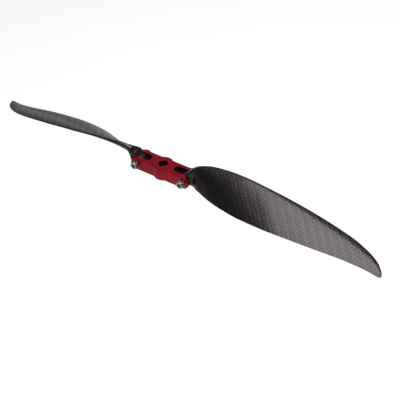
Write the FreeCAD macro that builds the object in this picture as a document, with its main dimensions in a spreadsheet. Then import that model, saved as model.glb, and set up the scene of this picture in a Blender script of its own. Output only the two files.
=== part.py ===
import FreeCAD, Part
import math
import os

import Sketcher
from FreeCAD import Placement, Rotation, Vector

# Two-blade folding propeller for a model aircraft.
#
# Frame: the origin is the centre of the shaft bore on the hub's back face, +Z points forward
# along the shaft, and the two arms of the hub lie along X. The right blade is on +X, with its
# leading edge towards +Y. The blades are modelled as they lie on a bench: the hub stands on its
# back face and each blade has dropped on its pivot until its tip touches the bench.

doc = FreeCAD.newDocument("FoldingPropeller")

# ---------------------------------------------------------------- driving dimensions, mm
SIZES = [
    ("pivot_offset", 20.0, "shaft axis to each blade pivot"),
    ("hub_height", 10.0, "hub, back face to front face; the ears are round about the pivots"),
    ("arm_width", 12.0, "hub arms, across Y"),
    ("boss_diameter", 15.0, "round boss about the shaft bore"),
    ("boss_blend", 2.0, "radius where the boss runs into the arms"),
    ("bore_diameter", 6.6, "clearance bore for an M6 propeller shaft"),
    ("bore_chamfer", 0.4, "chamfer at both mouths of the bore"),
    ("edge_chamfer", 0.3, "broken outer edges of the hub"),
    ("slot_width", 6.0, "fork slot that takes the blade root"),
    ("slot_floor", 10.0, "shaft axis to the round inner end of the fork slot"),
    ("cross_hole_diameter", 3.1, "holes through the ears for the pivot screws"),
    ("screw_diameter", 3.0, "M3 pivot screw"),
    ("screw_length", 16.0, "pivot screw under its head"),
    ("head_diameter", 5.5, "cap head of the pivot screw"),
    ("head_height", 3.0, "cap head of the pivot screw"),
    ("head_chamfer", 0.35, "rounded rim of the cap head"),
    ("socket_flats", 2.5, "hexagon socket across its flats"),
    ("socket_depth", 1.5, "hexagon socket"),
    ("washer_diameter", 6.0, "small M3 washer"),
    ("washer_hole", 3.1, "small M3 washer"),
    ("washer_height", 0.5, "small M3 washer"),
    ("nut_flats", 5.5, "M3 nut across its flats"),
    ("nut_height", 2.4, "M3 nut"),
    ("nut_bore", 3.04, "thread of the nut, as a plain hole"),
    ("nut_chamfer", 0.4, "chamfered corners of the nut"),
    ("tongue_width", 5.8, "flat blade root inside the fork slot, across Y"),
    ("tongue_radius", 4.5, "round end of the blade root about the pivot"),
    ("ear_relief", 1.4, "gap between the blade's shoulder and the round ears"),
    ("bush_diameter", 4.4, "bush pressed into the blade root"),
    ("bush_bore", 3.1, "bush, running on the pivot screw"),
    ("camber", 0.035, "camber of the blade section, as a part of its chord"),
    ("edge_thickness", 0.35, "trailing edge of the blade"),
]

# Blade sections from the pivot out. Each row is its distance from the shaft axis, the middle of
# its chord in Y and above the pivot, its chord, its blade angle in degrees, its thickness, and
# how far it has changed from the flat root (0) to the aerofoil (1).
STATION_COLUMNS = ("radius", "middle", "rise", "chord", "angle", "thickness", "foil")
STATIONS = [
    ("pivot", 20.0, 0.0, 0.0, 9.0, 90.0, 9.0, 0.0),
    ("neck", 22.4, 0.0, 2.9, 9.8, 90.0, 9.0, 0.0),
    ("shoulder", 26.0, 1.4, 3.1, 15.2, 82.6, 6.2, 0.0),
    ("root", 30.0, 0.2, 4.7, 17.2, 60.6, 4.2, 0.6),
    ("spread", 36.0, -0.1, 5.2, 20.4, 51.0, 3.8, 0.95),
    ("inner", 43.5, -0.8, 5.5, 23.4, 43.0, 3.2, 1.0),
    ("quarter", 57.0, -1.9, 5.65, 26.6, 34.0, 2.7, 1.0),
    ("broad", 70.5, -2.6, 5.2, 28.0, 27.2, 2.4, 1.0),
    ("middle", 84.0, -2.8, 4.5, 27.7, 22.8, 2.2, 1.0),
    ("outer", 111.0, -2.2, 2.25, 24.3, 17.1, 1.8, 1.0),
    ("taper", 138.0, -1.7, -0.95, 17.8, 13.2, 1.3, 1.0),
    ("sweep", 151.5, -3.0, -2.75, 12.8, 12.2, 1.0, 1.0),
    ("rake", 160.0, -5.6, -3.8, 8.3, 12.2, 0.8, 1.0),
    ("tip", 165.0, -8.9, -4.45, 3.0, 12.2, 0.6, 1.0),
]

sheet = doc.addObject("Spreadsheet::Sheet", "Sizes")


def fill_row(row, alias, value, note):
    """Writes one named number to the sheet."""
    sheet.set("A%d" % row, alias)
    sheet.set("B%d" % row, str(value))
    sheet.set("C%d" % row, note)
    sheet.setAlias("B%d" % row, alias)


row_number = 1
for alias, value, note in SIZES:
    fill_row(row_number, alias, value, note)
    row_number += 1
for station in STATIONS:
    for column, value in zip(STATION_COLUMNS, station[1:]):
        fill_row(row_number, "%s_%s" % (station[0], column), value, "blade section")
        row_number += 1
doc.recompute()


def size(alias):
    """Reads one number back from the sheet."""
    return float(sheet.get(alias))


# ---------------------------------------------------------------- helpers
def origin_plane(body, role):
    """One of a body's own origin planes, found by its role."""
    return next(item for item in body.Origin.OriginFeatures if item.Role == role)


def new_sketch(body, name, role):
    """A sketch flat on one of the body's origin planes."""
    sketch = body.newObject("Sketcher::SketchObject", name)
    sketch.AttachmentSupport = (origin_plane(body, role), [""])
    sketch.MapMode = "FlatFace"
    return sketch


def bind(thing, **expressions):
    """Ties properties of an object to expressions on the sheet."""
    for name, expression in expressions.items():
        thing.setExpression(name, expression)


def constrain(sketch, expression, *arguments):
    """Adds a dimension to a sketch and ties it to an expression."""
    index = sketch.addConstraint(Sketcher.Constraint(*arguments))
    sketch.setExpression("Constraints[%d]" % index, expression)


def add_circle(sketch, x, y, diameter, x_expression, y_expression, diameter_expression):
    """A circle whose centre and diameter follow the sheet."""
    circle = sketch.addGeometry(Part.Circle(Vector(x, y, 0), Vector(0, 0, 1), diameter / 2))
    place_point(sketch, circle, 3, x, y, x_expression, y_expression)
    constrain(sketch, diameter_expression, "Diameter", circle, diameter)


def place_point(sketch, geometry, vertex, x, y, x_expression, y_expression):
    """Places one point of a sketch from the origin; 0 means on the axis."""
    if x_expression == "0":
        sketch.addConstraint(Sketcher.Constraint("PointOnObject", geometry, vertex, -2))
    else:
        constrain(sketch, x_expression, "DistanceX", -1, 1, geometry, vertex, x)
    if y_expression == "0":
        sketch.addConstraint(Sketcher.Constraint("PointOnObject", geometry, vertex, -1))
    else:
        constrain(sketch, y_expression, "DistanceY", -1, 1, geometry, vertex, y)


def cut_through(body, sketch, name):
    """Pockets a sketch through the whole body, both ways from its plane."""
    before = body.Shape.Volume
    pocket = body.newObject("PartDesign::Pocket", name)
    pocket.Profile = sketch
    pocket.Type = "ThroughAll"
    pocket.Midplane = True
    doc.recompute()
    if body.Shape.Volume >= before:
        raise RuntimeError(name + " cuts nothing")
    return pocket


def primitive(kind, name, placement, **expressions):
    """A Part primitive whose sizes follow the sheet."""
    solid = doc.addObject(kind, name)
    bind(solid, **expressions)
    solid.Placement = placement
    return solid


def cut(name, base, tool):
    """One solid less another."""
    result = doc.addObject("Part::Cut", name)
    result.Base = base
    result.Tool = tool
    return result


AT_ORIGIN = Placement()
HEAD_TOWARDS_MINUS_Y = Rotation(Vector(1, 0, 0), 90)
parts = []


# ---------------------------------------------------------------- hub yoke, milled aluminium
def make_hub_yoke():
    """Bar with a round boss and bore in the middle, and an open fork slot at each end."""
    half = size("hub_height") / 2
    reach = size("pivot_offset")
    body = doc.addObject("PartDesign::Body", "HubYoke")
    body.Label = "hub_yoke"

    # Side view of the bar: straight top and bottom, round ends about the pivots.
    side = new_sketch(body, "BarSide", "XZ_Plane")
    top = Vector(reach, 2 * half, 0)
    bottom = Vector(reach, 0, 0)
    mirror_x = Vector(-1, 1, 1)
    left_top = Vector(top.x * mirror_x.x, top.y, 0)
    left_bottom = Vector(bottom.x * mirror_x.x, bottom.y, 0)
    up = Vector(0, 0, 1)
    quarter = math.pi / 2
    right_arc = side.addGeometry(Part.ArcOfCircle(Part.Circle(Vector(reach, half, 0), up, half),
                                                  -quarter, quarter))
    top_line = side.addGeometry(Part.LineSegment(top, left_top))
    left_arc = side.addGeometry(Part.ArcOfCircle(Part.Circle(Vector(-reach, half, 0), up, half),
                                                 quarter, 3 * quarter))
    bottom_line = side.addGeometry(Part.LineSegment(left_bottom, bottom))
    for joint in ((right_arc, 2, top_line, 1), (top_line, 2, left_arc, 1),
                  (left_arc, 2, bottom_line, 1), (bottom_line, 2, right_arc, 1)):
        side.addConstraint(Sketcher.Constraint("Tangent", *joint))
    side.addConstraint(Sketcher.Constraint("Equal", right_arc, left_arc))
    place_point(side, right_arc, 3, reach, half, "Sizes.pivot_offset", "Sizes.hub_height / 2")
    place_point(side, left_arc, 3, -reach, half, "-Sizes.pivot_offset", "Sizes.hub_height / 2")
    constrain(side, "Sizes.hub_height / 2", "Radius", right_arc, half)
    bar = body.newObject("PartDesign::Pad", "Bar")
    bar.Profile = side
    bar.Midplane = True
    bind(bar, Length="Sizes.arm_width")

    # Round boss about the bore, wider than the bar.
    boss_circle = new_sketch(body, "BossCircle", "XY_Plane")
    add_circle(boss_circle, 0, 0, size("boss_diameter"), "0", "0", "Sizes.boss_diameter")
    boss = body.newObject("PartDesign::Pad", "Boss")
    boss.Profile = boss_circle
    bind(boss, Length="Sizes.hub_height")
    doc.recompute()

    # The boss runs into the arms with a soft inside radius.
    corners = ["Edge%d" % (index + 1) for index, edge in enumerate(body.Shape.Edges)
               if is_boss_corner(edge)]
    blend = body.newObject("PartDesign::Fillet", "BossBlend")
    blend.Base = (boss, corners)
    bind(blend, Radius="Sizes.boss_blend")
    doc.recompute()

    # Fork slots: straight walls, round inner ends, open at the end, the front and the back.
    slots = new_sketch(body, "ForkSlots", "XY_Plane")
    for way in (1, -1):
        add_fork_slot(slots, way)
    cut_through(body, slots, "ForkSlotCut")

    bore_circle = new_sketch(body, "BoreCircle", "XY_Plane")
    add_circle(bore_circle, 0, 0, size("bore_diameter"), "0", "0", "Sizes.bore_diameter")
    cut_through(body, bore_circle, "Bore")

    cross = new_sketch(body, "CrossHoles", "XZ_Plane")
    for sign in ("", "-"):
        x = -reach if sign else reach
        add_circle(cross, x, half, size("cross_hole_diameter"),
                   sign + "Sizes.pivot_offset", "Sizes.hub_height / 2",
                   "Sizes.cross_hole_diameter")
    last = cut_through(body, cross, "CrossHoleCut")

    last = chamfer(body, last, "BoreMouths", is_bore_mouth, "Sizes.bore_chamfer")
    chamfer(body, last, "BrokenEdges", is_outer_edge, "Sizes.edge_chamfer")
    parts.append(body)


def add_fork_slot(sketch, way):
    """One open-ended slot outline; way is +1 for the right arm and -1 for the left."""
    wall = size("slot_width") / 2
    inner = way * (size("slot_floor") + wall)
    outer = way * (size("pivot_offset") + size("hub_height"))
    turn = math.pi / 2
    start, end = (turn, 3 * turn) if way > 0 else (-turn, turn)
    circle = Part.Circle(Vector(inner, 0, 0), Vector(0, 0, 1), wall)
    arc = sketch.addGeometry(Part.ArcOfCircle(circle, start, end))
    first = Vector(inner, wall * way, 0)
    second = Vector(outer, wall * way, 0)
    third = Vector(outer, -wall * way, 0)
    fourth = Vector(inner, -wall * way, 0)
    near = sketch.addGeometry(Part.LineSegment(first, second))
    mouth = sketch.addGeometry(Part.LineSegment(second, third))
    far = sketch.addGeometry(Part.LineSegment(third, fourth))
    sketch.addConstraint(Sketcher.Constraint("Tangent", arc, 1, near, 1))
    sketch.addConstraint(Sketcher.Constraint("Coincident", near, 2, mouth, 1))
    sketch.addConstraint(Sketcher.Constraint("Coincident", mouth, 2, far, 1))
    sketch.addConstraint(Sketcher.Constraint("Tangent", far, 2, arc, 2))
    sketch.addConstraint(Sketcher.Constraint("Vertical", mouth))
    sketch.addConstraint(Sketcher.Constraint("Horizontal", near))
    sign = "" if way > 0 else "-"
    place_point(sketch, arc, 3, inner, 0,
                sign + "(Sizes.slot_floor + Sizes.slot_width / 2)", "0")
    constrain(sketch, "Sizes.slot_width / 2", "Radius", arc, wall)
    constrain(sketch, sign + "(Sizes.pivot_offset + Sizes.hub_height)",
              "DistanceX", -1, 1, near, 2, outer)


def is_boss_corner(edge):
    """The upright inside corners between the boss and the arms."""
    box = edge.BoundBox
    on_wall = abs(abs(box.Center.y) - size("arm_width") / 2) < 0.01
    return on_wall and box.ZLength > 1 and box.XLength < 0.01 and box.YLength < 0.01


def is_bore_mouth(edge):
    """The two rims of the shaft bore."""
    box = edge.BoundBox
    round_rim = abs(box.XLength - size("bore_diameter")) < 0.01
    return round_rim and box.ZLength < 0.01 and abs(box.Center.x) < 0.01


def is_outer_edge(edge):
    """The outline of each long side: the arms, the boss and the round ears."""
    half_width = size("arm_width") / 2
    box = edge.BoundBox
    flat = box.ZLength < 0.01 and (box.ZMin < 0.01 or box.ZMax > size("hub_height") - 0.01)
    outside = min(abs(box.YMin), abs(box.YMax)) > half_width - 0.01
    ear = box.YLength < 0.01 and abs(abs(box.YMin) - half_width) < 0.01 and box.ZLength > 5
    return (flat and outside) or ear


def chamfer(body, base, name, is_wanted, size_expression):
    """Chamfers the edges of a body that a test picks."""
    edges = ["Edge%d" % (index + 1) for index, edge in enumerate(base.Shape.Edges)
             if is_wanted(edge)]
    feature = body.newObject("PartDesign::Chamfer", name)
    feature.Base = (base, edges)
    bind(feature, Size=size_expression)
    doc.recompute()
    return feature


# ---------------------------------------------------------------- pivot screws and their nuts
def make_pivot_screw(side, x):
    """M3 cap screw through both ears, with its head on the -Y side."""
    height = "Sizes.head_height"
    rim = primitive("Part::Cylinder", "HeadBlank" + side, AT_ORIGIN,
                    Radius="Sizes.head_diameter / 2", Height=height)
    doc.recompute()
    head = doc.addObject("Part::Chamfer", "Head" + side)
    head.Base = rim
    bevel = size("head_chamfer")
    head.Edges = [(number, bevel, bevel) for number in top_edges(rim)]
    shank = primitive("Part::Cylinder", "Shank" + side,
                      Placement(Vector(0, 0, -size("screw_length")), Rotation()),
                      Radius="Sizes.screw_diameter / 2", Height="Sizes.screw_length")
    blank = doc.addObject("Part::Fuse", "ScrewBlank" + side)
    blank.Base = head
    blank.Tool = shank
    socket_floor = size("head_height") - size("socket_depth")
    socket = primitive("Part::Prism", "Socket" + side,
                       Placement(Vector(0, 0, socket_floor), Rotation()),
                       Circumradius="Sizes.socket_flats / sqrt(3)", Height=height)
    socket.Polygon = 6
    screw = cut("PivotScrew" + side, blank, socket)
    screw.Label = "pivot_screw_" + side.lower()
    seat = -(size("arm_width") / 2 + size("washer_height"))
    screw.Placement = Placement(Vector(x, seat, size("hub_height") / 2), HEAD_TOWARDS_MINUS_Y)
    parts.append(screw)


def top_edges(solid):
    """Numbers of the edges that lie on a solid's top face."""
    top = solid.Shape.BoundBox.ZMax
    return [index + 1 for index, edge in enumerate(solid.Shape.Edges)
            if edge.BoundBox.ZMin > top - 0.01]


def make_washer(name, label, x, y):
    """Small flat washer between the hub and a screw head or a nut; y is its face nearer -Y."""
    disc = primitive("Part::Cylinder", name + "Disc", AT_ORIGIN,
                     Radius="Sizes.washer_diameter / 2", Height="Sizes.washer_height")
    hole = primitive("Part::Cylinder", name + "Hole", AT_ORIGIN,
                     Radius="Sizes.washer_hole / 2", Height="Sizes.washer_height")
    washer = cut(name, disc, hole)
    washer.Label = label
    turned = y + size("washer_height")
    washer.Placement = Placement(Vector(x, turned, size("hub_height") / 2),
                                 HEAD_TOWARDS_MINUS_Y)
    parts.append(washer)


def make_pivot_nut(side, x):
    """M3 hexagon nut on the far end of a pivot screw, with chamfered corners."""
    hexagon = primitive("Part::Prism", "Hexagon" + side, AT_ORIGIN,
                        Circumradius="Sizes.nut_flats / sqrt(3)", Height="Sizes.nut_height")
    hexagon.Polygon = 6
    round_blank = primitive("Part::Cylinder", "NutRound" + side, AT_ORIGIN,
                            Radius="Sizes.nut_flats / sqrt(3)", Height="Sizes.nut_height")
    doc.recompute()
    turned = doc.addObject("Part::Chamfer", "NutTurned" + side)
    turned.Base = round_blank
    bevel = size("nut_chamfer")
    rims = [index + 1 for index, edge in enumerate(round_blank.Shape.Edges)
            if edge.BoundBox.ZLength < 0.01]
    turned.Edges = [(number, bevel / 2, bevel) for number in rims]
    blank = doc.addObject("Part::Common", "NutBlank" + side)
    blank.Base = hexagon
    blank.Tool = turned
    thread = primitive("Part::Cylinder", "NutThread" + side, AT_ORIGIN,
                       Radius="Sizes.nut_bore / 2", Height="Sizes.nut_height")
    nut = cut("PivotNut" + side, blank, thread)
    nut.Label = "pivot_nut_" + side.lower()
    outer_face = size("arm_width") / 2 + size("washer_height") + size("nut_height")
    nut.Placement = Placement(Vector(x, outer_face, size("hub_height") / 2),
                              HEAD_TOWARDS_MINUS_Y)
    parts.append(nut)


# ---------------------------------------------------------------- blades, moulded carbon fibre
def thickness_shape(along):
    """Half thickness of a four-digit aerofoil at a part of its chord, 1 at its thickest."""
    root = 0.2969 * math.sqrt(along)
    rest = -0.1260 * along - 0.3516 * along ** 2 + 0.2843 * along ** 3 - 0.1036 * along ** 4
    return (root + rest) / 0.10003


def root_shape(along):
    """Half thickness of the flat-sided root, 1 in the middle, with rounded edges."""
    return (1 - abs(2 * along - 1) ** 4) ** 0.25


def section_wire(name):
    """Closed outline of one blade section: front face, back face and blunt trailing edge."""
    radius, middle, rise, chord, angle, thickness, foil = [
        size("%s_%s" % (name, column)) for column in STATION_COLUMNS]
    lean = math.radians(angle)
    backwards = Vector(0, -math.cos(lean), -math.sin(lean))
    outwards = Vector(0, -math.sin(lean), math.cos(lean))
    centre = Vector(radius, middle, size("hub_height") / 2 + rise)
    steps = 12
    front, back = [], []
    for step in range(steps + 1):
        along = (1 - math.cos(math.pi * step / steps)) / 2
        shape = (1 - foil) * root_shape(along) + foil * thickness_shape(along)
        half = thickness / 2 * shape + size("edge_thickness") / 2 * along
        arch = 4 * size("camber") * chord * foil * along * (1 - along)
        on_chord = centre + backwards * ((along - 0.5) * chord)
        front.append(on_chord + outwards * (arch + half))
        back.append(on_chord + outwards * (arch - half))
    front_curve = Part.BSplineCurve()
    front_curve.interpolate(front)
    back_curve = Part.BSplineCurve()
    back_curve.interpolate(back)
    edge = Part.makeLine(front[-1], back[-1])
    return Part.Wire([front_curve.toShape(), edge, back_curve.toShape()])


def blade_shape():
    """Right blade: lofted sections, round root end about the pivot, bush hole, room for ears."""
    pivot = Vector(size("pivot_offset"), 0, size("hub_height") / 2)
    loft = Part.makeLoft([section_wire(station[0]) for station in STATIONS], True, False)
    width = size("tongue_width")
    start = pivot - Vector(0, width / 2, 0)
    round_end = Part.makeCylinder(size("tongue_radius"), width, start, Vector(0, 1, 0))
    outside = pivot - Vector(0, width, 0)
    hole = Part.makeCylinder(size("bush_diameter") / 2, 2 * width, outside, Vector(0, 1, 0))
    relief = size("hub_height") / 2 + size("ear_relief")
    near_ear = Part.makeCylinder(relief, 2 * width, start, Vector(0, -1, 0))
    far_ear = Part.makeCylinder(relief, 2 * width, start + Vector(0, width, 0), Vector(0, 1, 0))
    return loft.cut(near_ear).cut(far_ear).fuse(round_end).cut(hole).removeSplitter()


def make_blade(side, quarter_turns):
    """One blade; the left one is the right one turned half a turn about the shaft."""
    blade = doc.addObject("Part::Feature", "Blade" + side)
    blade.Label = "blade_" + side.lower()
    blade.Shape = blade_shape()
    blade.Placement = Placement(Vector(0, 0, 0), Rotation(Vector(0, 0, 1), 90 * quarter_turns))
    parts.append(blade)


def make_root_bush(side, x):
    """Plain bush in the blade root, as long as the root is wide."""
    width = "Sizes.tongue_width"
    sleeve = primitive("Part::Cylinder", "BushSleeve" + side, AT_ORIGIN,
                       Radius="Sizes.bush_diameter / 2", Height=width)
    hole = primitive("Part::Cylinder", "BushHole" + side, AT_ORIGIN,
                     Radius="Sizes.bush_bore / 2", Height=width)
    bush = cut("RootBush" + side, sleeve, hole)
    bush.Label = "root_bush_" + side.lower()
    bush.Placement = Placement(Vector(x, size("tongue_width") / 2, size("hub_height") / 2),
                               HEAD_TOWARDS_MINUS_Y)
    parts.append(bush)


# ---------------------------------------------------------------- assembly
make_hub_yoke()
ear_face = size("arm_width") / 2
for side, x in (("Right", size("pivot_offset")), ("Left", -size("pivot_offset"))):
    make_pivot_screw(side, x)
    make_washer("HeadWasher" + side, "head_washer_" + side.lower(), x,
                -ear_face - size("washer_height"))
    make_washer("NutWasher" + side, "nut_washer_" + side.lower(), x, ear_face)
    make_pivot_nut(side, x)
    make_blade(side, 0 if x > 0 else 2)
    make_root_bush(side, x)
doc.recompute()

# ---------------------------------------------------------------- checks and files
for item in doc.Objects:
    if "Invalid" in item.State or "Error" in item.State:
        raise RuntimeError("%s is %s" % (item.Name, item.State))
os.makedirs("parts", exist_ok=True)
for part in parts:
    shape = part.Shape
    if shape.isNull() or not shape.isValid():
        raise RuntimeError(part.Label + " has no valid shape")
    if len(shape.Solids) != 1:
        raise RuntimeError("%s has %d solids" % (part.Label, len(shape.Solids)))
    shape.exportStep("parts/%s.step" % part.Label)
    print("%-20s %10.2f mm3" % (part.Label, shape.Volume))
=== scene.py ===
import math

import bmesh
import bpy
from mathutils import Matrix, Vector


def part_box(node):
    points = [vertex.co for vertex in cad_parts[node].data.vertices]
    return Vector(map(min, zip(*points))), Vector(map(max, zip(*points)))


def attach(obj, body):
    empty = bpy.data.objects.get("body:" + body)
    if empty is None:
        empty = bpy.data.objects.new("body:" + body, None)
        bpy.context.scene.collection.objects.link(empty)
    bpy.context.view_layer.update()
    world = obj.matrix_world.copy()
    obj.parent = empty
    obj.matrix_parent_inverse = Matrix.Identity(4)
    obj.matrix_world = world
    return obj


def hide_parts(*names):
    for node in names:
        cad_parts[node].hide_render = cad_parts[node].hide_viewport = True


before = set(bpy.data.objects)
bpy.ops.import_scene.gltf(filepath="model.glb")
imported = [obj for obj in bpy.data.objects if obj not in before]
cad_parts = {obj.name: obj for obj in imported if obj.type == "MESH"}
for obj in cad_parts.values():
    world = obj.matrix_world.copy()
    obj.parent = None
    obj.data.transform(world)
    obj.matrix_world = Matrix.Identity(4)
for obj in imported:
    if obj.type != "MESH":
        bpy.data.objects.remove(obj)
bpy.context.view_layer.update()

# ---------------------------------------------------------------- hub yoke
# The yoke is one bar of aluminium, milled all over, tumbled to break its edges and dyed red in
# the anodising bath. It carries the shaft bore in its boss and a fork slot at each end.


def new_material(name):
    """A material with only its Principled shader, ready to wire."""
    material = bpy.data.materials.new(name)
    material.use_nodes = True
    nodes = material.node_tree.nodes
    nodes.clear()
    shader = nodes.new("ShaderNodeBsdfPrincipled")
    output = nodes.new("ShaderNodeOutputMaterial")
    material.node_tree.links.new(shader.outputs["BSDF"], output.inputs["Surface"])
    return material, shader


def add_node(tree, kind, inputs=None, **settings):
    """Adds a node; an input is given a number, a colour or another node's output."""
    node = tree.nodes.new(kind)
    for name, value in settings.items():
        setattr(node, name, value)
    for key, value in (inputs or {}).items():
        if isinstance(value, bpy.types.NodeSocket):
            tree.links.new(value, node.inputs[key])
        else:
            node.inputs[key].default_value = value
    return node


def calculate(tree, operation, first, second=0.0, third=0.0):
    """One Math node's result."""
    values = {0: first, 1: second, 2: third}
    return add_node(tree, "ShaderNodeMath", values, operation=operation).outputs[0]


def ramp(tree, value, low, high, start, end):
    """Maps a value from low..high to start..end, held at both ends."""
    inputs = {"Value": value, "From Min": low, "From Max": high, "To Min": start, "To Max": end}
    return add_node(tree, "ShaderNodeMapRange", inputs).outputs["Result"]


def mix_colours(tree, factor, first, second):
    """Mixes two colours by a factor."""
    node = tree.nodes.new("ShaderNodeMix")
    node.data_type = "RGBA"
    for socket, value in ((node.inputs[0], factor), (node.inputs[6], first), (node.inputs[7], second)):
        if isinstance(value, bpy.types.NodeSocket):
            tree.links.new(value, socket)
        else:
            socket.default_value = value
    return node.outputs[2]


def mottle_group():
    """Group: slow and fine unevenness of a finish, as two masks, from object coordinates."""
    group = bpy.data.node_groups.new("Finish mottle", "ShaderNodeTree")
    face = group.interface
    face.new_socket("Coordinates", in_out="INPUT", socket_type="NodeSocketVector")
    face.new_socket("Broad scale", in_out="INPUT", socket_type="NodeSocketFloat")
    face.new_socket("Fine scale", in_out="INPUT", socket_type="NodeSocketFloat")
    face.new_socket("Broad", in_out="OUTPUT", socket_type="NodeSocketFloat")
    face.new_socket("Fine", in_out="OUTPUT", socket_type="NodeSocketFloat")
    start = group.nodes.new("NodeGroupInput")
    end = group.nodes.new("NodeGroupOutput")
    for scale, detail, result in (("Broad scale", 3.0, "Broad"), ("Fine scale", 5.0, "Fine")):
        noise = add_node(group, "ShaderNodeTexNoise", {
            "Vector": start.outputs["Coordinates"], "Scale": start.outputs[scale],
            "Detail": detail, "Roughness": 0.55})
        group.links.new(noise.outputs["Fac"], end.inputs[result])
    return group


finish_mottle = mottle_group()


def place_group(tree, group, inputs):
    """Puts a node group in a material with its own values."""
    node = add_node(tree, "ShaderNodeGroup", node_tree=group)
    for key, value in inputs.items():
        if isinstance(value, bpy.types.NodeSocket):
            tree.links.new(value, node.inputs[key])
        else:
            node.inputs[key].default_value = value
    return node


MM = 0.001


def red_anodising():
    """Satin red anodised aluminium, cutter lines along the bar, painted shade darkening the bore and
    slots.
    """
    bore_radius = 3.4 * MM
    slot_half = 3.03 * MM
    slot_centre = 13.0 * MM
    material, shader = new_material("Red anodised aluminium")
    tree = material.node_tree
    place = add_node(tree, "ShaderNodeTexCoord").outputs["Object"]
    mottle = place_group(tree, finish_mottle, {
        "Coordinates": place, "Broad scale": 90.0, "Fine scale": 900.0})
    stretched = add_node(tree, "ShaderNodeMapping", {
        "Vector": place, "Scale": (90.0, 2600.0, 2600.0)})
    lines = add_node(tree, "ShaderNodeTexNoise", {
        "Vector": stretched.outputs["Vector"], "Scale": 1.0, "Detail": 4.0,
        "Roughness": 0.6}).outputs["Fac"]
    dye = mix_colours(tree, ramp(tree, mottle.outputs["Broad"], 0.35, 0.65, 0.0, 1.0),
                      (0.48, 0.005, 0.022, 1.0), (0.62, 0.010, 0.034, 1.0))
    dye = mix_colours(tree, ramp(tree, lines, 0.45, 0.7, 0.0, 0.5),
                      dye, (0.70, 0.045, 0.075, 1.0))
    spot = add_node(tree, "ShaderNodeSeparateXYZ", {0: place})
    along = calculate(tree, "ABSOLUTE", spot.outputs["X"])
    across = calculate(tree, "ABSOLUTE", spot.outputs["Y"])
    # Painted shade: masks for the inside of the shaft bore and of each fork slot.
    shade_masks = []
    short_of_slot = calculate(tree, "MAXIMUM", calculate(tree, "SUBTRACT", slot_centre, along), 0.0)
    for reach, radius in ((along, bore_radius), (short_of_slot, slot_half)):
        distance = calculate(tree, "SQRT", calculate(
            tree, "ADD", calculate(tree, "MULTIPLY", reach, reach),
            calculate(tree, "MULTIPLY", across, across)))
        shade_masks.append(ramp(tree, distance, radius, radius + 0.1 * MM, 1.0, 0.0))
    bore_shade, slot_shade = shade_masks
    painted_recess_shade = calculate(tree, "MAXIMUM", bore_shade, slot_shade)
    # Painted shade: bore and slots turn near-black red, standing in for the shade inside these
    # recesses.
    dye = mix_colours(tree, painted_recess_shade, dye, (0.10, 0.002, 0.004, 1.0))
    tree.links.new(dye, shader.inputs["Base Color"])
    shader.inputs["Metallic"].default_value = 0.8
    tree.links.new(ramp(tree, mottle.outputs["Fine"], 0.3, 0.7, 0.34, 0.46),
                   shader.inputs["Roughness"])
    shader.inputs["Coat Weight"].default_value = 0.15
    shader.inputs["Coat Roughness"].default_value = 0.3
    bump = add_node(tree, "ShaderNodeBump", {
        "Strength": 0.5, "Distance": 0.00005, "Height": lines})
    tree.links.new(bump.outputs["Normal"], shader.inputs["Normal"])
    return material


def give_material(piece, material):
    """The piece's only material."""
    piece.data.materials.clear()
    piece.data.materials.append(material)


give_material(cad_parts["hub_yoke"], red_anodising())

# ---------------------------------------------------------------- blades
# Each blade is moulded in a two-part mould from 2x2 twill carbon cloth and clear resin: a solid
# flat root that fits the fork, then a thin cambered section that twists, widens and rakes back
# to a swept tip. The moulding is left as it comes out, glossy, with a resin edge all round.
PIVOT_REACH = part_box("root_bush_right")[0].lerp(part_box("root_bush_right")[1], 0.5)
HUB_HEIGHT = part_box("hub_yoke")[1].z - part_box("hub_yoke")[0].z

# distance from the shaft, middle of the chord, its rise above the pivot, chord, blade angle,
# thickness, and how far the section has changed from flat root (0) to aerofoil (1)
BLADE_SECTIONS = [
    (20.0, 0.0, 0.0, 9.0, 90.0, 9.0, 0.0),
    (22.4, 0.0, 2.9, 9.8, 90.0, 9.0, 0.0),
    (26.0, 1.4, 3.1, 15.2, 82.6, 6.2, 0.0),
    (30.0, 0.2, 4.7, 17.2, 60.6, 4.2, 0.6),
    (36.0, -0.1, 5.2, 20.4, 51.0, 3.8, 0.95),
    (43.5, -0.8, 5.5, 23.4, 43.0, 3.2, 1.0),
    (57.0, -1.9, 5.65, 26.6, 34.0, 2.7, 1.0),
    (70.5, -2.6, 5.2, 28.0, 27.2, 2.4, 1.0),
    (84.0, -2.8, 4.5, 27.7, 22.8, 2.2, 1.0),
    (111.0, -2.2, 2.25, 24.3, 17.1, 1.8, 1.0),
    (138.0, -1.7, -0.95, 17.8, 13.2, 1.3, 1.0),
    (151.5, -3.0, -2.75, 12.8, 12.2, 1.0, 1.0),
    (160.0, -5.6, -3.8, 8.3, 12.2, 0.8, 1.0),
    (165.0, -8.9, -4.45, 3.0, 12.2, 0.6, 1.0),
]
ANGLE = 3
CAMBER = 0.035
EDGE_THICKNESS = 0.35
CLOTH_TURN = math.radians(8)
ROUND_STEPS = 22


def section_at(radius):
    """All the numbers of the blade section at a distance from the shaft, eased between rows."""
    rows = BLADE_SECTIONS
    index = next((i for i in range(1, len(rows) - 1) if radius < rows[i][0]), len(rows) - 1)
    before, after = rows[index - 1], rows[index]
    span = after[0] - before[0]
    part = (radius - before[0]) / span
    values = []
    for column in range(1, len(before)):
        slopes = []
        for near in (index - 1, index):
            left = rows[max(near - 1, 0)]
            right = rows[min(near + 1, len(rows) - 1)]
            slopes.append(even_slope(left, rows[near], right, column))
        square, cube = part * part, part * part * part
        values.append((2 * cube - 3 * square + 1) * before[column]
                      + (cube - 2 * square + part) * span * slopes[0]
                      + (3 * square - 2 * cube) * after[column]
                      + (cube - square) * span * slopes[1])
    return values


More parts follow.
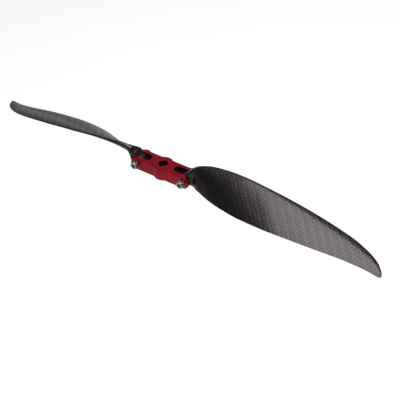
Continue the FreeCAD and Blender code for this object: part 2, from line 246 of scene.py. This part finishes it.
def even_slope(left, here, right, column):
    """Slope of a smooth curve through three rows that never overshoots them."""
    first = (here[column] - left[column]) / max(here[0] - left[0], 1e-6)
    second = (right[column] - here[column]) / max(right[0] - here[0], 1e-6)
    if left is here:
        return second
    if right is here:
        return first
    if first * second <= 0:
        return 0.0
    return 2 * first * second / (first + second)


def section_loop(radius, height_share=1.0):
    """Points round one blade section, from the leading edge over the front face and back."""
    middle, rise, chord, angle, thickness, foil = section_at(max(radius, BLADE_SECTIONS[0][0]))
    chord *= height_share
    lean = math.radians(angle)
    backwards = Vector((0, -math.cos(lean), -math.sin(lean)))
    outwards = Vector((0, -math.sin(lean), math.cos(lean)))
    centre = Vector((radius, middle, rise))
    points = []
    for face, steps in ((1, range(ROUND_STEPS + 1)), (-1, range(ROUND_STEPS, 0, -1))):
        for step in steps:
            along = (1 - math.cos(math.pi * step / ROUND_STEPS)) / 2
            aerofoil = (0.2969 * math.sqrt(along) - 0.1260 * along - 0.3516 * along ** 2
                        + 0.2843 * along ** 3 - 0.1036 * along ** 4) / 0.10003
            flat = (1 - abs(2 * along - 1) ** 4) ** 0.25
            shape = (1 - foil) * flat + foil * aerofoil
            half = thickness / 2 * shape + EDGE_THICKNESS / 2 * along
            arch = 4 * CAMBER * chord * foil * along * (1 - along)
            place = centre + backwards * ((along - 0.5) * chord) + outwards * (arch + face * half)
            points.append(place * MM + Vector((0, 0, PIVOT_REACH.z)))
    return points


def blade_radii():
    """Distances of the section loops: round root end, then close near the root and the tip."""
    pivot = BLADE_SECTIONS[0][0]
    tip = BLADE_SECTIONS[-1][0]
    root_radius = BLADE_SECTIONS[0][3] / 2
    round_tip = 1.6
    last_plain = tip - 3
    root_end, fine_step, coarse_step = 34, 0.6, 2.0
    loops = []
    for degrees in range(8, 90, 9):
        turn = math.radians(degrees)
        loops.append((pivot - root_radius * math.cos(turn), math.sin(turn)))
    radius = pivot
    while radius < last_plain:
        loops.append((radius, 1.0))
        radius += fine_step if radius < root_end else coarse_step
    for degrees in range(0, 90, 10):
        turn = math.radians(degrees)
        loops.append((tip - round_tip + round_tip * math.sin(turn), math.cos(turn)))
    return loops


def new_piece(name, mesh_builder):
    """Turns a finished bmesh into an object at the origin."""
    mesh = bpy.data.meshes.new(name)
    bmesh.ops.recalc_face_normals(mesh_builder, faces=mesh_builder.faces)
    mesh_builder.to_mesh(mesh)
    mesh_builder.free()
    piece = bpy.data.objects.new(name, mesh)
    bpy.context.scene.collection.objects.link(piece)
    return piece


def carve(piece, cutter):
    """Cuts one piece with another, keeps the result in its mesh and removes the cutter."""
    boolean = piece.modifiers.new("Carve", "BOOLEAN")
    boolean.operation = "DIFFERENCE"
    boolean.solver = "EXACT"
    boolean.object = cutter
    bpy.context.view_layer.update()
    view = bpy.context.evaluated_depsgraph_get()
    carved = bpy.data.meshes.new_from_object(piece.evaluated_get(view))
    piece.modifiers.clear()
    piece.data = carved
    bpy.data.objects.remove(cutter)


def ear_and_bush_cutter(name):
    """Turned cutter on the pivot: thin where the bush sits, wide where the ears swing past."""
    bush_radius = (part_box("root_bush_right")[1].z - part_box("root_bush_right")[0].z) / 2
    half_tongue = (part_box("root_bush_right")[1].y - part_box("root_bush_right")[0].y) / 2
    ear_gap = 1.4 * MM
    relief_radius = HUB_HEIGHT / 2 + ear_gap
    far = 9 * MM
    builder = bmesh.new()
    made = bmesh.ops.create_circle(builder, segments=64, radius=relief_radius, cap_ends=True)
    bmesh.ops.rotate(builder, verts=made["verts"], cent=(0, 0, 0),
                     matrix=Matrix.Rotation(math.radians(90), 3, "X"))
    bmesh.ops.translate(builder, verts=made["verts"], vec=(0, -far, 0))
    ring = builder.edges[:]
    for y, radius in ((-half_tongue, relief_radius), (-half_tongue, bush_radius),
                      (half_tongue, bush_radius), (half_tongue, relief_radius),
                      (far, relief_radius)):
        grown = bmesh.ops.extrude_edge_only(builder, edges=ring)["geom"]
        verts = [item for item in grown if isinstance(item, bmesh.types.BMVert)]
        ring = [item for item in grown if isinstance(item, bmesh.types.BMEdge)]
        for vert in verts:
            reach = Vector((vert.co.x, 0, vert.co.z)).normalized() * radius
            vert.co = Vector((reach.x, y, reach.z))
    bmesh.ops.edgeloop_fill(builder, edges=ring)
    bmesh.ops.translate(builder, verts=builder.verts, vec=(PIVOT_REACH.x, 0, PIVOT_REACH.z))
    return new_piece(name, builder)


def blade_piece(name, side):
    """One blade: loops extruded along its length, bush hole and ear relief cut, cloth laid."""
    builder = bmesh.new()
    loops = blade_radii()
    first = section_loop(*loops[0])
    made = bmesh.ops.create_circle(builder, segments=len(first), radius=0.001, cap_ends=True)
    ordered = made["verts"]
    for vert, point in zip(ordered, first):
        vert.co = point
    for radius, share in loops[1:]:
        ring = [edge_between(ordered[i - 1], ordered[i]) for i in range(len(ordered))]
        grown = bmesh.ops.extrude_edge_only(builder, edges=ring)["geom"]
        new_verts = {item for item in grown if isinstance(item, bmesh.types.BMVert)}
        ordered = [next(edge.other_vert(vert) for edge in vert.link_edges
                        if edge.other_vert(vert) in new_verts) for vert in ordered]
        for vert, point in zip(ordered, section_loop(radius, share)):
            vert.co = point
    bmesh.ops.edgeloop_fill(builder, edges=[edge_between(ordered[i - 1], ordered[i])
                                            for i in range(len(ordered))])
    piece = new_piece(name, builder)
    carve(piece, ear_and_bush_cutter(name + " cutter"))
    lay_cloth(piece)
    if side == "left":
        piece.data.transform(Matrix.Rotation(math.pi, 4, "Z"))
    piece.data.shade_smooth()
    piece.data.set_sharp_from_angle(angle=math.radians(35))
    return piece


def edge_between(first, second):
    """The edge that joins two neighbouring points."""
    return next(edge for edge in first.link_edges if edge.other_vert(first) is second)


def lay_cloth(piece):
    """Lays the cloth's grid on the blade: along it, and across it down the chord, in mm."""
    cloth = piece.data.uv_layers.new(name="Cloth")
    for loop in piece.data.loops:
        place = piece.data.vertices[loop.vertex_index].co / MM
        radius = min(max(place.x, BLADE_SECTIONS[0][0]), BLADE_SECTIONS[-1][0])
        lean = math.radians(section_at(radius)[ANGLE])
        height = place.z - PIVOT_REACH.z / MM
        across = -(place.y * math.cos(lean) + height * math.sin(lean))
        turned = Vector((place.x, across)) @ Matrix.Rotation(CLOTH_TURN, 2)
        cloth.data[loop.index].uv = turned


def twill_group():
    """Group: 2x2 twill from cloth coordinates. Gives each tow's tone, height and direction."""
    group = bpy.data.node_groups.new("Twill cloth", "ShaderNodeTree")
    face = group.interface
    face.new_socket("Cloth", in_out="INPUT", socket_type="NodeSocketVector")
    face.new_socket("Tow width", in_out="INPUT", socket_type="NodeSocketFloat")
    face.new_socket("Tone", in_out="OUTPUT", socket_type="NodeSocketFloat")
    face.new_socket("Height", in_out="OUTPUT", socket_type="NodeSocketFloat")
    face.new_socket("Lengthwise", in_out="OUTPUT", socket_type="NodeSocketFloat")
    start = group.nodes.new("NodeGroupInput")
    end = group.nodes.new("NodeGroupOutput")
    scaled = add_node(group, "ShaderNodeVectorMath", {0: start.outputs["Cloth"]},
                      operation="DIVIDE")
    width = add_node(group, "ShaderNodeCombineXYZ", {
        "X": start.outputs["Tow width"], "Y": start.outputs["Tow width"], "Z": 1.0})
    group.links.new(width.outputs[0], scaled.inputs[1])
    split = add_node(group, "ShaderNodeSeparateXYZ", {0: scaled.outputs[0]})
    u, v = split.outputs["X"], split.outputs["Y"]
    column = calculate(group, "FLOOR", u)
    row = calculate(group, "FLOOR", v)
    step = calculate(group, "FLOORED_MODULO", calculate(group, "SUBTRACT", column, row), 4.0)
    lengthwise = calculate(group, "LESS_THAN", step, 1.5)
    along_u = calculate(group, "DIVIDE", calculate(
        group, "FLOORED_MODULO", calculate(group, "SUBTRACT", u, row), 4.0), 2.0)
    along_v = calculate(group, "DIVIDE", calculate(group, "SUBTRACT", calculate(
        group, "FLOORED_MODULO", calculate(group, "SUBTRACT", v, column), 4.0), 1.0), 2.0)
    rises = []
    for along, across in ((along_u, v), (along_v, u)):
        crest = calculate(group, "SINE", calculate(group, "MULTIPLY", along, math.pi))
        side = calculate(group, "SINE", calculate(
            group, "MULTIPLY", calculate(group, "FRACT", across), math.pi))
        rises.append(calculate(group, "MULTIPLY", calculate(group, "POWER", crest, 0.5),
                               calculate(group, "POWER", side, 0.35)))
    height = add_node(group, "ShaderNodeMix", {
        0: lengthwise, 2: rises[1], 3: rises[0]}).outputs[0]
    fibres = []
    for vector in ((0.25, 9.0, 1.0), (9.0, 0.25, 1.0)):
        strands = add_node(group, "ShaderNodeMapping", {"Vector": scaled.outputs[0],
                                                        "Scale": vector})
        fibres.append(add_node(group, "ShaderNodeTexNoise", {
            "Vector": strands.outputs["Vector"], "Scale": 1.0, "Detail": 2.0}).outputs["Fac"])
    strand = add_node(group, "ShaderNodeMix", {
        0: lengthwise, 2: fibres[1], 3: fibres[0]}).outputs[0]
    tone = calculate(group, "MULTIPLY_ADD", height, 0.6,
                     calculate(group, "MULTIPLY", strand, 0.4))
    group.links.new(tone, end.inputs["Tone"])
    group.links.new(calculate(group, "MULTIPLY_ADD", strand, 0.25, height),
                    end.inputs["Height"])
    group.links.new(lengthwise, end.inputs["Lengthwise"])
    return group


def carbon_laminate():
    """Twill carbon in clear resin: dark, with the tows' sheen under a glossy smooth skin."""
    tow_width = 1.85
    material, shader = new_material("Twill carbon laminate")
    tree = material.node_tree
    cloth = add_node(tree, "ShaderNodeUVMap", uv_map="Cloth").outputs["UV"]
    place = add_node(tree, "ShaderNodeTexCoord").outputs["Object"]
    weave = place_group(tree, twill_group(), {"Cloth": cloth, "Tow width": tow_width})
    mottle = place_group(tree, finish_mottle, {
        "Coordinates": place, "Broad scale": 60.0, "Fine scale": 700.0})
    along_tow = mix_colours(tree, weave.outputs["Tone"], (0.0012, 0.0012, 0.0013, 1.0),
                            (0.010, 0.0094, 0.0098, 1.0))
    across_tow = mix_colours(tree, weave.outputs["Tone"], (0.0020, 0.0020, 0.0021, 1.0),
                             (0.022, 0.0200, 0.0208, 1.0))
    fibre = mix_colours(tree, weave.outputs["Lengthwise"], across_tow, along_tow)
    tree.links.new(fibre, shader.inputs["Base Color"])
    roughness = ramp(tree, weave.outputs["Lengthwise"], 0.0, 1.0, 0.24, 0.36)
    tree.links.new(roughness, shader.inputs["Roughness"])
    bump = add_node(tree, "ShaderNodeBump", {
        "Strength": 1.0, "Distance": 0.00012, "Height": weave.outputs["Height"]})
    tree.links.new(bump.outputs["Normal"], shader.inputs["Normal"])
    shader.inputs["Specular IOR Level"].default_value = 0.55
    shader.inputs["Specular Tint"].default_value = (1.0, 0.86, 0.9, 1.0)
    shader.inputs["Coat Weight"].default_value = 0.6
    shader.inputs["Coat Roughness"].default_value = 0.14
    shader.inputs["Coat IOR"].default_value = 1.5
    return material


carbon = carbon_laminate()
for side in ("right", "left"):
    blade = blade_piece("blade_skin_" + side, side)
    give_material(blade, carbon)
    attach(blade, "blade_" + side)
    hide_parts("blade_" + side)

# ---------------------------------------------------------------- root bushes
# A turned brass bush is pressed into each blade root and runs on the pivot screw.


def turned_metal(name, light, dark, roughness):
    """Turned or plated metal: rings of fine tool marks and a slightly uneven tone."""
    material, shader = new_material(name)
    tree = material.node_tree
    place = add_node(tree, "ShaderNodeTexCoord").outputs["Object"]
    mottle = place_group(tree, finish_mottle, {
        "Coordinates": place, "Broad scale": 400.0, "Fine scale": 3500.0})
    tree.links.new(mix_colours(tree, mottle.outputs["Broad"], dark, light),
                   shader.inputs["Base Color"])
    shader.inputs["Metallic"].default_value = 1.0
    tree.links.new(ramp(tree, mottle.outputs["Fine"], 0.3, 0.7, roughness * 0.75,
                        roughness * 1.3), shader.inputs["Roughness"])
    bump = add_node(tree, "ShaderNodeBump", {
        "Strength": 0.2, "Distance": 0.00002, "Height": mottle.outputs["Fine"]})
    tree.links.new(bump.outputs["Normal"], shader.inputs["Normal"])
    return material


brass = turned_metal("Turned brass", (0.78, 0.60, 0.30, 1.0), (0.58, 0.42, 0.18, 1.0), 0.3)
for side in ("right", "left"):
    give_material(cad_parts["root_bush_" + side], brass)

# ---------------------------------------------------------------- pivot screws, washers, nuts
# M3 socket cap screws of plated steel: a knurled head with a hex socket and a thread that shows
# past the nut. Each screw goes through a washer, one ear, the bush, the other ear, a washer and
# its nut, and is the hinge pin of its blade.


def pivot_screw(name, side):
    """One screw, turned about the Y axis through the pivot, head towards -Y."""
    low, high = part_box("pivot_screw_" + side)
    head_radius = (high.z - low.z) / 2
    head_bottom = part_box("head_washer_" + side)[0].y
    shank_radius = 1.5 * MM
    thread_start = 1.0 * MM
    thread_pitch = 0.5 * MM
    thread_depth = 0.2 * MM
    head_break = 0.15 * MM
    knurl_depth = 0.955
    knurl_spacing = 5
    socket_flats = 2.5 * MM
    socket_depth = 1.5 * MM
    rim = 0.32 * MM
    socket_radius = socket_flats / 2 / math.cos(math.radians(30))
    profile = [(socket_radius, low.y), (head_radius - rim, low.y),
               (head_radius - rim * 0.3, low.y + rim * 0.3), (head_radius, low.y + rim),
               (head_radius, head_bottom - head_break),
               (head_radius - head_break, head_bottom), (shank_radius, head_bottom),
               (shank_radius, thread_start)]
    groove = thread_start
    while groove < high.y - thread_pitch:
        profile.append((shank_radius - thread_depth, groove + 0.2 * MM))
        profile.append((shank_radius, groove + 0.4 * MM))
        groove += thread_pitch
    profile.append((shank_radius - 0.3 * MM, high.y))
    profile.append((0.0, high.y))
    builder = bmesh.new()
    verts = [builder.verts.new((radius, y, 0)) for radius, y in profile]
    edges = [builder.edges.new(pair) for pair in zip(verts, verts[1:])]
    bmesh.ops.spin(builder, geom=verts + edges, cent=(0, 0, 0), axis=(0, 1, 0),
                   angle=math.tau, steps=72, use_merge=True)
    bmesh.ops.remove_doubles(builder, verts=builder.verts, dist=1e-6)
    for vert in builder.verts:
        radius = math.hypot(vert.co.x, vert.co.z)
        turn = math.degrees(math.atan2(vert.co.z, vert.co.x))
        knurl_top = low.y + rim * 0.9 < vert.co.y < low.y + rim * 1.01
        knurl_bottom = abs(vert.co.y - (head_bottom - head_break)) < 1e-6
        if (knurl_top or knurl_bottom) and round(turn / knurl_spacing) % 2:
            vert.co.x *= knurl_depth
            vert.co.z *= knurl_depth
        if abs(vert.co.y - low.y) < 1e-7 and abs(radius - socket_radius) < 1e-6:
            corner = math.radians((turn % 60) - 30)
            reach = socket_flats / 2 / math.cos(corner) / radius
            vert.co.x *= reach
            vert.co.z *= reach
    mouth = [edge for edge in builder.edges if edge.is_boundary]
    grown = bmesh.ops.extrude_edge_only(builder, edges=mouth)["geom"]
    floor_verts = [item for item in grown if isinstance(item, bmesh.types.BMVert)]
    floor_edges = [item for item in grown if isinstance(item, bmesh.types.BMEdge)]
    bmesh.ops.translate(builder, verts=floor_verts, vec=(0, socket_depth, 0))
    bmesh.ops.edgeloop_fill(builder, edges=floor_edges)
    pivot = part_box("root_bush_" + side)[0].lerp(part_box("root_bush_" + side)[1], 0.5)
    bmesh.ops.translate(builder, verts=builder.verts, vec=(pivot.x, 0, pivot.z))
    piece = new_piece(name, builder)
    piece.data.shade_smooth()
    piece.data.set_sharp_from_angle(angle=math.radians(30))
    return piece


steel = turned_metal("Bright plated steel", (0.66, 0.65, 0.62, 1.0),
                     (0.40, 0.39, 0.37, 1.0), 0.2)
for side in ("right", "left"):
    for node in ("head_washer_", "nut_washer_", "pivot_nut_"):
        give_material(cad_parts[node + side], steel)
    screw = pivot_screw("cap_screw_" + side, side)
    give_material(screw, steel)
    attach(screw, "hub")
    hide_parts("pivot_screw_" + side)

# ---------------------------------------------------------------- bench and light
# The propeller is held above a round white table, high enough for the folded blades to hang
# free, under one large overhead softbox. The surroundings are pale low down and dim above.
table_drop = 0.16
table_radius = 3.0
table_glow = 0.65
builder = bmesh.new()
bmesh.ops.create_circle(builder, segments=96, radius=table_radius, cap_ends=True,
                        matrix=Matrix.Translation((0.0, 0.0, -table_drop)))
table_top = new_piece("table_top", builder)
white, shader = new_material("White table")
tree = white.node_tree
speck = add_node(tree, "ShaderNodeTexNoise", {
    "Vector": add_node(tree, "ShaderNodeTexCoord").outputs["Object"],
    "Scale": 14.0, "Detail": 4.0}).outputs["Fac"]
tree.links.new(mix_colours(tree, speck, (0.80, 0.80, 0.80, 1.0), (0.84, 0.84, 0.84, 1.0)),
               shader.inputs["Base Color"])
shader.inputs["Roughness"].default_value = 0.7
shader.inputs["Specular IOR Level"].default_value = 0.2
shader.inputs["Emission Color"].default_value = (1.0, 1.0, 1.0, 1.0)
seen = add_node(tree, "ShaderNodeLightPath").outputs["Is Camera Ray"]
tree.links.new(calculate(tree, "MULTIPLY", seen, table_glow), shader.inputs["Emission Strength"])
give_material(table_top, white)

SOFTBOX_HEIGHT = 1.2
softbox = bpy.data.lights.new("Overhead softbox", "AREA")
softbox.shape = "RECTANGLE"
softbox.size = 0.58 * SOFTBOX_HEIGHT
softbox.size_y = 1.06 * SOFTBOX_HEIGHT
softbox.energy = 10.0
softbox.color = (1.0, 0.94, 0.95)
lamp = bpy.data.objects.new("Overhead softbox", softbox)
lamp.location = (0.16 * SOFTBOX_HEIGHT, 0.0, SOFTBOX_HEIGHT)
bpy.context.scene.collection.objects.link(lamp)

world = bpy.data.worlds.new("Studio")
bpy.context.scene.world = world
world.use_nodes = True
tree = world.node_tree
tree.nodes.clear()
direction = add_node(tree, "ShaderNodeTexCoord").outputs["Generated"]
heading = add_node(tree, "ShaderNodeSeparateXYZ", {0: direction})
glow = ramp(tree, heading.outputs["Z"], 0.05, 0.3, 0.55, 0.15)
glow = calculate(tree, "MULTIPLY", glow, ramp(tree, heading.outputs["X"], 0.0, 0.6, 1.0, 0.3))
glow = calculate(tree, "MULTIPLY", glow, ramp(tree, heading.outputs["Y"], -0.7, 0.0, 0.28, 1.0))
surround = add_node(tree, "ShaderNodeBackground", {
    "Color": (1.0, 1.0, 1.0, 1.0), "Strength": glow})
out = tree.nodes.new("ShaderNodeOutputWorld")
tree.links.new(surround.outputs["Background"], out.inputs["Surface"])

# ---------------------------------------------------------------- camera
# A short telephoto above the near side, looking down along the right blade.
look_around = math.radians(35.23)
look_down = math.radians(42.42)
tilt = math.radians(-2.19)
standpoint = (0.2089, -0.2526, 0.27215)
back = Vector((math.sin(look_around) * math.cos(look_down),
               -math.cos(look_around) * math.cos(look_down), math.sin(look_down)))
level = Vector((math.cos(look_around), math.sin(look_around), 0))
upright = back.cross(level)
right = level * math.cos(tilt) + upright * math.sin(tilt)
upward = upright * math.cos(tilt) - level * math.sin(tilt)
optics = bpy.data.cameras.new("Camera")
optics.lens = 53.5
optics.sensor_width = 36.0
optics.clip_start = 0.01
camera = bpy.data.objects.new("Camera", optics)
camera.matrix_world = Matrix.Translation(standpoint) @ Matrix((
    (right.x, upward.x, back.x, 0), (right.y, upward.y, back.y, 0),
    (right.z, upward.z, back.z, 0), (0, 0, 0, 1)))
bpy.context.scene.collection.objects.link(camera)
bpy.context.scene.camera = camera
bpy.context.scene.view_settings.view_transform = "Standard"
